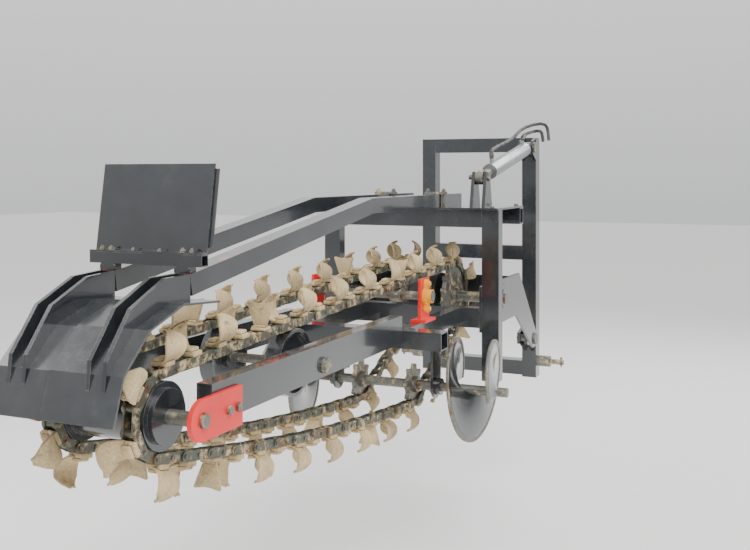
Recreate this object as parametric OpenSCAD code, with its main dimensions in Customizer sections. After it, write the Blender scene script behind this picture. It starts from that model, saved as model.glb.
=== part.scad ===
// Double-chain trencher for a tractor's three-point hitch.
// Origin is midway between the two lower hitch pins, +Y is forward, +X is the machine's right.

/* [Overall sizes] */
// Distance from the head shaft back to the tail shaft
boom_reach = 2400; // [1900:10:3000]
// Distance between the two digging chains
chain_gap = 254; // [230:1:300]
// Half the distance between the two portal uprights
portal_half = 400; // [380:1:460]
// Height of the top of the crumber beams above the hitch pins
crumber_top = 960; // [940:1:1000]
// Width of the curved guard at the tail
guard_w = 400; // [370:1:460]

/* [Digging chain] */
// Pitch of the digging chain
chain_pitch = 63.5; // [60:0.5:70]
// Radius of the chain roller
roller_r = 11; // [9:0.5:13]
// Pin radius in the links
link_pin_r = 6; // [5:0.5:7]
// Radial gap between a pin and the hole in a link plate
link_gap = 0.05; // [0.02:0.01:0.1]
// Sag of the lower run
chain_sag = 35; // [0:1:50]
// Radius of the curl of a cup cutter
cup_r = 45; // [38:1:50]
// Teeth on a head sprocket
head_teeth = 16; // [14:1:17]

/* [Fits] */
// Radius of the head shaft
head_shaft_r = 25; // [20:1:30]
// Radius of the tail shaft
tail_shaft_r = 20; // [16:1:24]
// Radius of the auger shaft
auger_shaft_r = 20; // [16:1:24]
// Radius of the carrier shaft
carrier_shaft_r = 17.5; // [14:0.5:20]
// Radial running gap of a shaft in its bearing
run_gap = 0.08; // [0.02:0.01:0.1]
// Gap between parts that slide or turn past each other
slip_gap = 0.3; // [0.2:0.05:0.5]

/* [Hitch] */
// Radius of a lower hitch pin
hitch_pin_r = 14; // [11:0.5:18]
// Half the spread of the lower hitch pin shoulders
hitch_half = 412; // [340:1:480]
// Radius of the hole for the top link pin
top_link_r = 12.9; // [9.5:0.1:16]
// Height of the top link hole above the lower pins
top_link_z = 610; // [460:5:685]
// Radius of the power input shaft
input_r = 17.45; // [17.4:0.05:22.3]

/* [Hidden] */
$fn = 48;
black = [0.12, 0.14, 0.16];
red = [0.8, 0.1, 0.08];
orange = [0.95, 0.6, 0.1];
steel = [0.55, 0.56, 0.55];
tan_dirt = [0.72, 0.62, 0.42];
half = chain_gap / 2;

// Shaft positions as [y, z]
head = [-850, 455];
auger = [-1400, 130];
carrier = [-1580, 545];
pivot = [-150, 150];
mast = [-90, 1200];
idler_ahead = 720;
idler_z = 430;
lift_eye = [-950, 1040];
lift_x = portal_half - 100;
head_r = head_teeth * chain_pitch / (2 * PI);
auger_r = 8 * chain_pitch / (2 * PI);
tail_r = 110;
tail_rest_z = 420;

// A tangent between two wheels: [heading, length]
function run(a, ra, b, rb) = [
  atan2(b[1] - a[1], b[0] - a[0]) + asin((rb - ra) / norm(b - a)),
  sqrt(pow(norm(b - a), 2) - pow(rb - ra, 2))
];
function rad(deg) = deg * PI / 180;
function loop_len(t) =
  let (a = run(t, tail_r, head, head_r), b = run(head, head_r, auger, auger_r))
  let (c = run(auger, auger_r, t, tail_r))
  a[1] + b[1] + c[1] + rad(a[0] - b[0]) * head_r + rad(b[0] - (c[0] - 360)) * auger_r
  + rad(c[0] - a[0]) * tail_r;
tail_nominal = [head[0] - boom_reach, tail_rest_z];
link_count = 6 * round(loop_len(tail_nominal) / (6 * chain_pitch));
tail = [tail_nominal[0] - (link_count * chain_pitch - loop_len(tail_nominal)) / 2, tail_rest_z];

// The chain's run as stretches: top run, head wrap, down run, auger wrap, lower run, tail wrap
top_run = run(tail, tail_r, head, head_r);
down_run = run(head, head_r, auger, auger_r);
low_run = run(auger, auger_r, tail, tail_r) - [360, 0];
s1 = top_run[1];
s2 = s1 + rad(top_run[0] - down_run[0]) * head_r;
s3 = s2 + down_run[1];
s4 = s3 + rad(down_run[0] - low_run[0]) * auger_r;
s5 = s4 + low_run[1];
loop_total = loop_len(tail);
step = loop_total / link_count;
function off(c, r, h) = [c[0] - r * sin(h), c[1] + r * cos(h)];
function wrap(c, r, h) = [off(c, r, h)[0], off(c, r, h)[1], h];
function straight(c, r, h, s) = [off(c, r, h)[0] + s * cos(h), off(c, r, h)[1] + s * sin(h), h];
function sagging(p, h, t) =
  [p[0] - chain_sag * 4 * t * (1 - t) * sin(h), p[1] + chain_sag * 4 * t * (1 - t) * cos(h), h];
// A place on the chain as [y, z, heading]
function on_chain(s) =
  s < s1 ? straight(tail, tail_r, top_run[0], s)
  : s < s2 ? wrap(head, head_r, top_run[0] - (s - s1) / head_r * 180 / PI)
  : s < s3 ? straight(head, head_r, down_run[0], s - s2)
  : s < s4 ? wrap(auger, auger_r, down_run[0] - (s - s3) / auger_r * 180 / PI)
  : s < s5 ? sagging(straight(auger, auger_r, low_run[0], s - s4), low_run[0], (s - s4) / low_run[1])
  : wrap(tail, tail_r, low_run[0] - (s - s5) / tail_r * 180 / PI);
function pin_at(k) = on_chain((k % link_count) * step);
function link_heading(k) = atan2(pin_at(k + 1)[1] - pin_at(k)[1], pin_at(k + 1)[0] - pin_at(k)[0]);

link_h = 14;
inner_x = 12;
link_t = 5;
cutter_every = 2;
base_t = 8;
side_plate_x = portal_half - 52;
plate_t = 12;
beam_x = 235;
beam_w = 48;
beam_lo = 393;
beam_hi = 500;
rail_lo = 370;
rail_hi = 440;
tail_plate_x = beam_x + beam_w / 2 + slip_gap;
post_x = side_plate_x - 48;
relief = 1;
top_link_y = 88;
tube = 80;
top_beam_z = [810, 890];
portal_y = [-1130, -1070];
rear_member_y = [-1850, -1770];
mount_y = -545;
input_shoulder = mount_y + plate_t + 2;
input_end = -440;
input_body_r = input_r + 2.5;
plate_top = crumber_top - 60 - slip_gap;

module along_x(p, r, x0, x1) {
  translate([x0, p[0], p[1]])
    rotate([90, 0, 90])
      cylinder(r = r, h = x1 - x0);
}

module both() {
  children();
  mirror([1, 0, 0])
    children();
}

module block(x0, x1, y0, y1, z0, z1) {
  translate([x0, y0, z0])
    cube([x1 - x0, y1 - y0, z1 - z0]);
}

// A flat plate in the side view, from x0 to x1, drawn as [y, z] points
module side_shape(x0, x1) {
  translate([x0, 0, 0])
    rotate([90, 0, 90])
      linear_extrude(height = x1 - x0)
        children();
}

module box_tube(x0, x1, y0, y1, z0, z1, t, way) {
  inset = [way == 0 ? -1 : t, way == 1 ? -1 : t, way == 2 ? -1 : t];
  difference() {
    block(x0, x1, y0, y1, z0, z1);
    block(x0 + inset[0], x1 - inset[0], y0 + inset[1], y1 - inset[1], z0 + inset[2], z1 - inset[2]);
  }
}

module hitch_posts() {
  color(black)
    both()
      box_tube(post_x - tube / 2, post_x + tube / 2, -tube / 2, tube / 2, -90, 1260, 6, 2);
}

module hitch_cross_beams() {
  w = post_x - tube / 2;
  color(black) {
    box_tube(-w, w, -tube / 2, tube / 2, -80, 0, 6, 0);
    box_tube(-w, w, -tube / 2, tube / 2, top_link_z - 40, top_link_z + 40, 6, 0);
    box_tube(-w, w, -tube / 2, tube / 2, 1180, 1260, 6, 0);
  }
}

module lower_hitch_pins() {
  color(steel)
    both()
      difference() {
        union() {
          along_x([0, 0], hitch_pin_r, hitch_half + relief, hitch_half + 75);
          along_x([0, 0], hitch_pin_r - relief, hitch_half - 1, hitch_half + 2);
          along_x([0, 0], 30, post_x + tube / 2, hitch_half);
        }
        translate([hitch_half + 62, 0, -50])
          cylinder(r = 5.5, h = 100);
      }
}

module top_link_lugs() {
  color(black)
    both()
      difference() {
        side_shape(28, 43)
          polygon([[40, top_link_z - 40], [90, top_link_z - 28], [118, top_link_z - 10],
            [118, top_link_z + 20], [90, top_link_z + 34], [40, top_link_z + 40]]);
        along_x([top_link_y, top_link_z], top_link_r, 0, 60);
      }
}

module pivot_lugs() {
  color(black)
    both()
      for (x = [side_plate_x - 78, side_plate_x - 36])
        difference() {
          side_shape(x, x + 16)
            polygon([[-40, 60], [-40, 240], [-120, 195], [-186, 180], [-186, 120], [-120, 105]]);
          along_x(pivot, 20, x - 5, x + 25);
        }
}

module pivot_pins() {
  x = side_plate_x + plate_t + slip_gap;
  color(steel)
    both() {
      along_x(pivot, 20 - run_gap, side_plate_x - 84, x + 1);
      along_x(pivot, 32, x, x + 9);
    }
}

module mast_lugs() {
  color(black)
    for (x = [lift_x - 42, lift_x + 26])
      difference() {
        side_shape(x, x + 16)
          polygon([[-40, 1130], [-40, 1260], [-100, 1240], [-128, 1215], [-128, 1185], [-100, 1160]]);
        along_x(mast, 16, x - 2, x + 20);
      }
}

module mast_pin() {
  color(steel) {
    along_x(mast, 16 - run_gap, lift_x - 50, lift_x + 43);
    along_x(mast, 24, lift_x + 42 + slip_gap, lift_x + 50);
  }
}

// Lays its children along the lift cylinder, starting at the mast pin
module on_lift() {
  translate([lift_x, mast[0], mast[1]])
    rotate([atan2(lift_eye[1] - mast[1], lift_eye[0] - mast[0]) - 90, 0, 0])
      children();
}

lift_len = norm(lift_eye - mast);
barrel_start = 54;
barrel_r = 38;
barrel_bore = 32;
barrel_end = lift_len - 145;
rod_r = 20;
eye_bore = 22;
lift_pin_r = 12;
ear_gap = 21.5;

module lift_barrel() {
  color(steel)
    difference() {
      union() {
        on_lift()
          translate([0, 0, barrel_start])
            cylinder(r = barrel_r, h = barrel_end - barrel_start);
        on_lift()
          translate([0, 0, 24])
            cylinder(r = 22, h = barrel_start - 20);
        along_x(mast, 34, lift_x - 25, lift_x + 25);
        on_lift()
          for (s = [90, barrel_end - 45])
            translate([0, 0, s])
              rotate([-90, 0, 0])
                cylinder(r = 11, h = 58);
      }
      along_x(mast, 16 + run_gap, lift_x - 30, lift_x + 30);
      on_lift() {
        translate([0, 0, 66])
          cylinder(r = barrel_bore, h = barrel_end - 96);
        translate([0, 0, 70])
          cylinder(r = rod_r + run_gap, h = barrel_end);
      }
    }
}

hose_r = 9;
hose_sides = 10;
// Places on each hose as [side, up, along] from the mast pin, along the barrel towards the rod
long_hose = [[0, 60, 685], [0, 74, 683], [-4, 88, 672], [-10, 92, 640], [-12, 92, 590],
  [-13, 92, 548], [-14, 92, 500], [-14, 90, 440], [-14, 90, 380], [-14, 90, 320], [-14, 91, 260],
  [-12, 94, 200], [-10, 104, 150], [-2, 116, 100], [16, 126, 54], [44, 132, 8], [74, 132, -36],
  [92, 120, -76], [96, 98, -104], [96, 66, -122], [96, 24, -130]];
short_hose = [[0, 60, 90], [0, 74, 87], [6, 84, 72], [20, 90, 48], [40, 94, 16], [58, 94, -20],
  [66, 88, -56], [66, 74, -88], [66, 52, -108], [66, 20, -118]];

function unit(v) = v / norm(v);
function tube_ring(path, i) =
  let (t = unit(path[min(i + 1, len(path) - 1)] - path[max(i - 1, 0)]))
  let (a = unit(cross(t, [1, 0, 0])), b = cross(t, a))
  [for (k = [0:hose_sides - 1])
    let (w = k * 360 / hose_sides) path[i] + hose_r * (a * cos(w) + b * sin(w))];

// A plain tube laid along a path, with flat ends
module hose(path) {
  n = len(path);
  m = hose_sides;
  points = [for (i = [0:n - 1]) each tube_ring(path, i)];
  walls = [for (i = [0:n - 2]) for (k = [0:m - 1])
    [i * m + k, i * m + (k + 1) % m, (i + 1) * m + (k + 1) % m, (i + 1) * m + k]];
  ends = [[for (k = [0:m - 1]) m - 1 - k], [for (k = [0:m - 1]) (n - 1) * m + k]];
  polyhedron(points = points, faces = concat(walls, ends), convexity = 6);
}

module lift_hoses() {
  color(black)
    on_lift()
      for (path = [long_hose, short_hose])
        hose([for (p = path) [p[0], p[1], p[2]]]);
}

module lift_rod() {
  color(steel)
    difference() {
      union() {
        on_lift() {
          translate([0, 0, 150])
            cylinder(r = rod_r, h = lift_len - 175);
          translate([0, 0, 150])
            cylinder(r = barrel_bore - run_gap, h = 40);
        }
        along_x(lift_eye, 36, lift_x - 18, lift_x + 18);
      }
      along_x(lift_eye, eye_bore, lift_x - 20, lift_x + 20);
    }
}

module lift_bracket() {
  color(black)
    for (x = [lift_x - ear_gap - 16, lift_x + ear_gap])
      difference() {
        side_shape(x, x + 16)
          polygon([[lift_eye[0] - 62, plate_top], [lift_eye[0] + 62, plate_top], [lift_eye[0] + 30, 1035],
            [lift_eye[0] + 16, 1066], [lift_eye[0] - 16, 1066], [lift_eye[0] - 30, 1035]]);
        along_x(lift_eye, lift_pin_r, x - 2, x + 20);
      }
}

module lift_pin() {
  color(steel) {
    along_x(lift_eye, lift_pin_r - run_gap, lift_x - 58, lift_x + ear_gap + 18);
    along_x(lift_eye, 18, lift_x + ear_gap + 16 + slip_gap, lift_x + ear_gap + 24);
  }
}

module portal_uprights() {
  color(black)
    both()
      box_tube(portal_half - 40, portal_half + 40, portal_y[0], portal_y[1], 110, 890, 6, 2);
}

module portal_cross_beams() {
  w = portal_half - 40;
  color(black) {
    box_tube(-w, w, portal_y[0], portal_y[1], top_beam_z[0], top_beam_z[1], 6, 0);
    box_tube(-side_plate_x, side_plate_x, portal_y[0], portal_y[1], rail_lo - 20, rail_hi, 6, 0);
    box_tube(-w - 80, w + 80, -760, -700, top_beam_z[0], top_beam_z[1], 6, 0);
  }
}

module portal_top_plate() {
  color(black)
    block(-portal_half - 40, portal_half + 40, -1150, -700, top_beam_z[1], plate_top);
}

module portal_side_plates() {
  color(black)
    both()
      difference() {
        block(side_plate_x, side_plate_x + plate_t, portal_y[1] - 60, -530, head[1] - 125, head[1] + 85);
        along_x(head, head_shaft_r + 6, side_plate_x - 5, side_plate_x + 20);
      }
}

module pivot_arms() {
  color(black)
    both()
      difference() {
        union() {
          side_shape(side_plate_x, side_plate_x + plate_t)
            polygon([[-530, head[1] - 125], [-530, head[1] + 85], [-470, head[1] + 85], [-110, 178],
              [-120, 106], [-180, 104]]);
          along_x(pivot, 46, side_plate_x, side_plate_x + plate_t);
        }
        along_x(pivot, 20 + run_gap, side_plate_x - 5, side_plate_x + 20);
      }
}

module base_rails() {
  color(black)
    both()
      box_tube(beam_x - beam_w / 2, beam_x + beam_w / 2, rear_member_y[1], portal_y[0],
        rail_lo, rail_hi, 5, 1);
}

module rear_cross_member() {
  color(black)
    box_tube(-portal_half - 20, portal_half + 20, rear_member_y[0], rear_member_y[1],
      rail_lo, rail_hi, 5, 0);
}

tail_slot = [tail[0] + 70, tail[0] + 195];
tail_bolt_at = [tail[0] + 120, tail[0] + 165];
tail_bolt_r = 8;

module side_beams() {
  color(black)
    both()
      difference() {
        union() {
          box_tube(beam_x - beam_w / 2, beam_x + beam_w / 2, tail[0] + 60, rear_member_y[0],
            beam_lo, beam_hi, 5, 1);
          block(beam_x - beam_w / 2 + 3, beam_x + beam_w / 2 - 3, tail[0] + 62, tail[0] + 68,
            beam_lo + 3, beam_hi - 3);
        }
        along_x([tail[0] + idler_ahead, idler_z], 16, beam_x - 30, beam_x + 30);
        block(beam_x - 30, beam_x + 30, tail_slot[0], tail_slot[1], tail[1] - tail_bolt_r - slip_gap,
          tail[1] + tail_bolt_r + slip_gap);
      }
}

box_half = 66;
module gearbox_housing() {
  color(black)
    difference() {
      union() {
        along_x(head, 112, -box_half, box_half);
        translate([0, head[0], head[1]])
          rotate([-90, 0, 0])
            cylinder(r = 60, h = mount_y - head[0]);
        translate([0, mount_y - 14, head[1]])
          rotate([-90, 0, 0])
            cylinder(r = 80, h = 14);
      }
      along_x(head, 102, 10 - box_half, box_half - 10);
      translate([0, head[0], head[1]])
        rotate([-90, 0, 0])
          cylinder(r = 50, h = mount_y - 30 - head[0]);
      along_x(head, head_shaft_r + run_gap, -80, 80);
      translate([0, head[0], head[1]])
        rotate([-90, 0, 0])
          cylinder(r = input_body_r + run_gap, h = 400);
    }
}

module gearbox_mount_plate() {
  color(black)
    difference() {
      block(-side_plate_x, side_plate_x, mount_y, mount_y + plate_t, head[1] - 110, head[1] + 75);
      translate([0, mount_y - 10, head[1]])
        rotate([-90, 0, 0])
          cylinder(r = 40, h = 40);
    }
}

module input_shaft() {
  color(steel)
    translate([0, head[0] + 85, head[1]])
      rotate([-90, 0, 0])
        union() {
          cylinder(r = input_body_r, h = input_shoulder - head[0] - 85);
          cylinder(r = input_r - relief, h = input_shoulder + 2 - head[0] - 85);
          translate([0, 0, input_shoulder + relief - head[0] - 85])
            cylinder(r = input_r, h = input_end - input_shoulder - relief);
        }
}

module bevel_pinion() {
  color(steel)
    translate([0, head[0] + 50, head[1]])
      rotate([-90, 0, 0])
        cylinder(r1 = 50 / 3, r2 = 85 / 3, h = 35);
}

crown_bore = head_shaft_r + 0.05;
module crown_gear() {
  color(steel)
    translate([0, head[0], head[1]])
      rotate([0, 90, 0])
        rotate_extrude()
          polygon([[crown_bore, crown_bore / 3 + slip_gap], [85, 85 / 3 + slip_gap], [85, 42],
            [crown_bore, 42]]);
}

module head_shaft() {
  color(steel)
    along_x(head, head_shaft_r, -side_plate_x - 48, side_plate_x + 48);
}

// A toothed wheel whose teeth stand between the rollers of the chain wrapped on it
module toothed(c, r, s_from, heading, bore, hub) {
  turn = step / r * 180 / PI;
  first = ceil(s_from / step) * step - s_from;
  lead = heading - first / r * 180 / PI + 90 + turn / 2;
  root = r - roller_r - 1.5;
  difference() {
    union() {
      translate([0, c[0], c[1]])
        side_shape(half - 10, half + 10) {
          circle(r = root);
          for (i = [0:floor(2 * PI * r / step + 0.01) - 1])
            rotate(lead - i * turn)
              polygon([[root - 4, -15], [r + 1, -9], [r + 8, -4], [r + 8, 4], [r + 1, 9], [root - 4, 15]]);
        }
      along_x(c, hub, half - 28, half + 28);
    }
    along_x(c, bore, half - 40, half + 40);
  }
}

module head_sprockets() {
  color(steel)
    both()
      toothed(head, head_r, s1, top_run[0], head_shaft_r, 44);
}

module auger_sprockets() {
  color(steel)
    both()
      toothed(auger, auger_r, s3, down_run[0], auger_shaft_r, 34);
}

module head_bearings() {
  x = side_plate_x + plate_t;
  color(black)
    both()
      difference() {
        union() {
          block(x, x + 14, head[0] - 62, head[0] + 62, head[1] - 62, head[1] + 62);
          along_x(head, 46, x, x + 30);
        }
        along_x(head, head_shaft_r + run_gap, x - 5, x + 40);
      }
}

ped_x = beam_x + 6;
module bearing_pedestals() {
  color(red)
    both()
      difference() {
        union() {
          block(beam_x - beam_w / 2, beam_x + 44, carrier[0] - 60, carrier[0] + 60, rail_hi, rail_hi + 12);
          block(ped_x, ped_x + plate_t, carrier[0] - 52, carrier[0] + 52, rail_hi + 10, carrier[1] + 74);
        }
        along_x(carrier, carrier_shaft_r + 3, ped_x - 5, ped_x + 20);
      }
}

module flange_bearings() {
  x = ped_x + plate_t;
  color(orange)
    both()
      difference() {
        union() {
          along_x(carrier, 38, x, x + 14);
          along_x(carrier, 28, x, x + 34);
          block(x, x + 14, carrier[0] - 18, carrier[0] + 18, carrier[1] - 52, carrier[1] + 52);
          for (z = [-52, 52])
            along_x(carrier + [0, z], 18, x, x + 14);
        }
        along_x(carrier, carrier_shaft_r + run_gap, x - 5, x + 40);
      }
}

module bearing_bolts() {
  x = ped_x + plate_t + 14;
  color(orange)
    both()
      for (z = [-52, 52])
        translate([x, carrier[0], carrier[1] + z])
          rotate([0, 90, 0])
            cylinder(r = 11, h = 10, $fn = 6);
}

module carrier_shaft() {
  x = ped_x + plate_t + 30;
  color(steel)
    along_x(carrier, carrier_shaft_r, -x, x);
}

// How far the underside of the links on the top run passes from a point
function under_top_run(p) =
  (p - off(tail, tail_r, top_run[0])) * [sin(top_run[0]), -cos(top_run[0])] - link_h - slip_gap;

module carrier_rollers() {
  color(steel)
    both()
      difference() {
        along_x(carrier, under_top_run(carrier), half - 26, half + 26);
        along_x(carrier, carrier_shaft_r, half - 30, half + 30);
      }
}

idler = [tail[0] + idler_ahead, idler_z];
idler_r = under_top_run(idler);
module idler_wheels() {
  color(black)
    both()
      difference() {
        union() {
          along_x(idler, idler_r, half - 10, half + 10);
          difference() {
            along_x(idler, idler_r, half - 26, half + 26);
            along_x(idler, idler_r - 12, half - 30, half + 30);
          }
          along_x(idler, 36, half - 34, half + 34);
        }
        along_x(idler, 16 + run_gap, half - 40, half + 40);
      }
}

module idler_axle() {
  x = beam_x + beam_w / 2;
  color(steel) {
    along_x(idler, 16 - run_gap, -x - 8, x + 8);
    both()
      along_x(idler, 26, x + slip_gap, x + 16);
  }
}

module tail_plates() {
  color(red)
    both()
      difference() {
        union() {
          along_x(tail, 55, tail_plate_x, tail_plate_x + 14);
          block(tail_plate_x, tail_plate_x + 14, tail[0], tail[0] + 190, tail[1] - 55, tail[1] + 55);
        }
        along_x(tail, tail_shaft_r + run_gap, tail_plate_x - 5, tail_plate_x + 20);
        for (y = tail_bolt_at)
          along_x([y, tail[1]], tail_bolt_r, tail_plate_x - 5, tail_plate_x + 20);
      }
}

module tail_bolts() {
  color(steel)
    both()
      for (y = tail_bolt_at) {
        along_x([y, tail[1]], tail_bolt_r - run_gap, beam_x - 34, tail_plate_x + 22);
        translate([tail_plate_x + 14 + slip_gap, y, tail[1]])
          rotate([0, 90, 0])
            cylinder(r = 13, h = 9, $fn = 6);
        translate([beam_x - 34, y, tail[1]])
          rotate([0, 90, 0])
            cylinder(r = 13, h = 10 - slip_gap, $fn = 6);
      }
}

module tail_shaft() {
  color(steel)
    along_x(tail, tail_shaft_r, -tail_plate_x - 22, tail_plate_x + 22);
}

// Radius that clears the middle of each straight link as it turns round the tail
drum_seat_r = sqrt(pow(tail_r, 2) - pow(chain_pitch / 2, 2)) - link_h - slip_gap;
module tail_drum() {
  color(black)
    difference() {
      union() {
        along_x(tail, 74, -half - 40, half + 40);
        both()
          along_x(tail, drum_seat_r, half - 26, half + 26);
      }
      along_x(tail, tail_shaft_r, -half - 60, half + 60);
    }
}

hanger_x = beam_x - 6;
module auger_hangers() {
  color(black)
    both()
      difference() {
        union() {
          block(hanger_x, hanger_x + plate_t, auger[0] - 50, auger[0] + 50, auger[1], rail_lo);
          along_x(auger, 50, hanger_x, hanger_x + plate_t);
          along_x(auger, 36, hanger_x, hanger_x + 34);
        }
        along_x(auger, auger_shaft_r + run_gap, hanger_x - 5, hanger_x + 50);
      }
}

flight_x = hanger_x + 46;
flight_w = 270;
flight_r = 220;
module auger_shaft() {
  x = flight_x + flight_w + 12;
  color(steel)
    along_x(auger, auger_shaft_r, -x, x);
}

module right_auger_flight() {
  color(black)
    translate([flight_x, auger[0], auger[1]])
      rotate([90, 0, 90])
        linear_extrude(height = flight_w, twist = -540, slices = 54)
          translate([auger_shaft_r + slip_gap, -8])
            square([flight_r - auger_shaft_r, 16]);
}

module left_auger_flight() {
  mirror([1, 0, 0])
    right_auger_flight();
}

// Lays its children on link k of a chain, +Y along the run and +Z away from the loop
module on_link(k) {
  mid = (pin_at(k) + pin_at(k + 1)) / 2;
  translate([half, mid[0], mid[1]])
    rotate([link_heading(k), 0, 0])
      children();
}

module chain_links() {
  for (k = [0:link_count - 1]) {
    reach = norm([pin_at(k + 1)[0] - pin_at(k)[0], pin_at(k + 1)[1] - pin_at(k)[1]]) / 2;
    x = k % 2 == 0 ? inner_x + link_t + slip_gap : inner_x;
    on_link(k)
      for (side = [0, 1])
        mirror([side, 0, 0])
          difference() {
            union() {
              for (y = [-reach, reach])
                along_x([y, 0], link_h, x, x + link_t);
              block(x, x + link_t, -reach, reach, -link_h, link_h);
            }
            for (y = [-reach, reach])
              along_x([y, 0], link_pin_r + link_gap, x - 1, x + link_t + 1);
          }
  }
}

module chain_pins() {
  for (k = [0:link_count - 1])
    translate([half, 0, 0]) {
      p = [pin_at(k)[0], pin_at(k)[1]];
      along_x(p, roller_r, slip_gap - inner_x, inner_x - slip_gap);
      along_x(p, link_pin_r, -25, 25);
    }
}

base_top = link_h + base_t;
curl_t = 8;
curl_w = 94;
curl_sides = 12;
curl_start = -86;
curl_turn = 164;

function curl_point(i, r) =
  let (a = curl_start + curl_turn * i / curl_sides) [r * cos(a), r * sin(a)];

module curl_section() {
  outer = [for (i = [0:curl_sides]) curl_point(i, cup_r + curl_t / 2)];
  inner = [for (i = [curl_sides:-1:0]) curl_point(i, cup_r - curl_t / 2)];
  polygon(concat(outer, inner));
}

module cup_cutter() {
  intersection() {
    union() {
      block(-26, 26, -22, 22, link_h, base_top);
      translate([0, 0, base_top + cup_r])
        rotate([90, 0, 0])
          linear_extrude(height = curl_w, center = true)
            curl_section();
    }
    side_shape(-60, 60)
      polygon([[-22, link_h], [22, link_h], [38, 34], [47, 58], [45, 86], [12, 2 * cup_r + 30],
        [-12, 2 * cup_r + 30], [-45, 86], [-47, 58], [-38, 34]]);
  }
}

module flat_cutter() {
  block(-26, 26, -22, 22, link_h, base_top);
  rotate([90, 0, 0])
    translate([0, 0, -5])
      linear_extrude(height = 10)
        polygon([[-20, base_top - 2], [20, base_top - 2], [46, 104], [-46, 104]]);
}

cutter_total = floor(link_count / cutter_every);
function flat_here(j) = j % 9 == 4;
function curl(j) = j % 2 == 0 ? 0 : 1;

module cutters() {
  for (j = [0:cutter_total - 1])
    on_link(j * cutter_every)
      mirror([curl(j), 0, 0])
        if (flat_here(j))
          flat_cutter();
        else
          cup_cutter();
}

module cutter_bolts() {
  color(steel)
    both()
      for (j = [0:cutter_total - 1])
        on_link(j * cutter_every)
          mirror([curl(j), 0, 0])
            for (y = [-14, 14])
              translate([-18, y, base_top])
                cylinder(r = 7, h = 6, $fn = 6);
}

module right_chain_links() {
  color(steel)
    chain_links();
}

module left_chain_links() {
  color(steel)
    mirror([1, 0, 0])
      chain_links();
}

module right_chain_pins() {
  color(steel)
    chain_pins();
}

module left_chain_pins() {
  color(steel)
    mirror([1, 0, 0])
      chain_pins();
}

module right_cutters() {
  color(tan_dirt)
    cutters();
}

module left_cutters() {
  color(tan_dirt)
    mirror([1, 0, 0])
      cutters();
}

// A path moved sideways by d, to its right
function leg(path, i) = let (v = path[i + 1] - path[i]) [v[1], -v[0]] / norm(v);
function moved(path, d) = [
  for (i = [0:len(path) - 1])
    let (a = leg(path, max(i - 1, 0)), b = leg(path, min(i, len(path) - 2)))
    path[i] + (a + b) / (1 + a * b) * d
];
function backwards(path) = [for (i = [1:len(path)]) path[len(path) - i]];
function band(path, d0, d1) = concat(moved(path, d0), backwards(moved(path, d1)));

beam_back = tail[0] + 110;
beam_bend = -1900;
beam_front = -810;
beam_drop = 180;
arm_w = 60;
arm_path = [[beam_back, crumber_top - beam_drop], [beam_bend, crumber_top], [beam_front, crumber_top]];
arm_core = [[beam_back - 1, crumber_top - beam_drop - beam_drop / (beam_bend - beam_back)],
  [beam_bend, crumber_top], [beam_front - 5, crumber_top]];
function arm_top(y) = crumber_top - beam_drop + beam_drop * (y - beam_back) / (beam_bend - beam_back);

module crumber_beams() {
  color(black)
    both()
      difference() {
        side_shape(half - arm_w / 2, half + arm_w / 2)
          polygon(band(arm_path, 0, arm_w));
        side_shape(half - arm_w / 2 + 4, half + arm_w / 2 - 4)
          polygon(band(arm_core, 4, arm_w - 4));
      }
}

guard_t = 6;
guard_path = [tail + [190, 270], tail + [20, 282], tail + [-120, 236], tail + [-218, 143],
  tail + [-254, 30]];

module guard_left_plate() {
  color(black)
    side_shape(-guard_w / 2, 0)
      polygon(band(guard_path, 0, guard_t));
}

module guard_right_plate() {
  color(black)
    side_shape(-24, guard_w / 2)
      polygon(band(guard_path, guard_t, 2 * guard_t));
}

// A tapered rib from the beam's end down over the guard
module rib(rest) {
  low = moved(guard_path, rest);
  start = low[0] + (low[1] - low[0]) * (low[0][0] - beam_back) / (low[0][0] - low[1][0]);
  tip = low[3] + (low[4] - low[3]) * 0.35;
  top = arm_top(beam_back);
  polygon([start, low[1], low[2], low[3], tip, low[3] + [-4, 34], low[2] + [-16, 52], low[1] + [-20, 66],
    [beam_back, top]]);
}

module crumber_ribs() {
  color(black)
    for (x = [-half - 30, -half + 18, half - 30, half + 18])
      side_shape(x, x + 12)
        rib(x < 0 ? guard_t : 2 * guard_t);
}

bar_y = tail[0] + 130;
bar_z = [crumber_top - 160, crumber_top - 128];
bar_half = guard_w / 2 - 10;

module crossbar() {
  color(black) {
    box_tube(-bar_half, bar_half, bar_y - 16, bar_y + 16, bar_z[0], bar_z[1], 3, 0);
    both()
      side_shape(half - 24, half + 24)
        polygon([[bar_y - 16, arm_top(bar_y - 16)], [bar_y + 16, arm_top(bar_y + 16)],
          [bar_y + 16, bar_z[0]], [bar_y - 16, bar_z[0]]]);
  }
}

panel_h = 250;
panel_lean = tan(9);
module rear_panel() {
  z = bar_z[1];
  color(black)
    side_shape(-bar_half, bar_half)
      polygon([[bar_y - 16, z], [bar_y + 16, z], [bar_y + 16 + panel_h * panel_lean, z + panel_h],
        [bar_y + 11 + panel_h * panel_lean, z + panel_h], [bar_y + 11 + 5 * panel_lean, z + 5],
        [bar_y - 16, z + 5]]);
}

module panel_backing_sheet() {
  y = bar_y + 16 + slip_gap;
  z = bar_z[1];
  color(black)
    side_shape(-bar_half + 30, bar_half + 12)
      polygon([[y + 18 * panel_lean, z + 18], [y + 4 + 18 * panel_lean, z + 18],
        [y + 4 + 236 * panel_lean, z + 236], [y + 236 * panel_lean, z + 236]]);
}

module beam_clamps() {
  y = (portal_y[0] + portal_y[1]) / 2;
  z = crumber_top + slip_gap;
  color(steel)
    both() {
      block(half - 50, half + 50, y - 20, y + 20, z, z + 10);
      for (x = [half - 39, half + 39]) {
        translate([x, y, plate_top])
          cylinder(r = 6, h = z + 26 - plate_top);
        translate([x, y, z + 9])
          cylinder(r = 11, h = 11, $fn = 6);
      }
    }
}

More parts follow.
